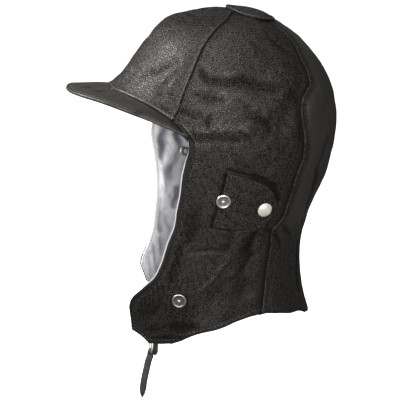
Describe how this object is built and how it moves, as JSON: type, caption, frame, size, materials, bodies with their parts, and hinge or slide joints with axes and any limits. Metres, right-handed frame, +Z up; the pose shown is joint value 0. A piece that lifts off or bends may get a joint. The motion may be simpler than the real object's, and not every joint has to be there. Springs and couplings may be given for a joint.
{
  "type": "leather motoring helmet",
  "caption": "Soft leather motoring helmet with a short peak, long side flaps, snapped ear flaps, a round crown patch and a chin strap through a small ring.",
  "frame": {"origin": "highest point of the inside, where the crown rests on a head", "axes": "+Z up, -Y the way the wearer faces, +X the wearer's left"},
  "size_m": [0.1624, 0.2503, 0.3621],
  "materials": {
    "leather": "pebble grain, soft sheen",
    "satin": "silver grey satin",
    "nickel": "nickel plate",
    "cap": "pale satin nickel"
  },
  "bodies": {
    "root": {"front_panel": "leather", "side_panel_left": "leather", "side_panel_right": "leather", "back_panel": "leather", "front_lining": "satin", "side_lining_left": "satin", "side_lining_right": "satin", "back_lining": "satin", "peak": "leather", "crown_patch": "leather", "ear_flap_left": "leather", "ear_flap_right": "leather", "ear_stud_left": "nickel", "ear_stud_right": "nickel", "ear_cap_left": "cap", "ear_cap_right": "cap", "ear_rivet_left": "nickel", "ear_rivet_right": "nickel", "chin_stud_left": "nickel", "chin_stud_right": "nickel", "chin_rivet_left": "nickel", "chin_rivet_right": "nickel", "strap_ring": "nickel", "ring_tab": "leather", "chin_strap": "leather"}
  },
  "joints": []
}
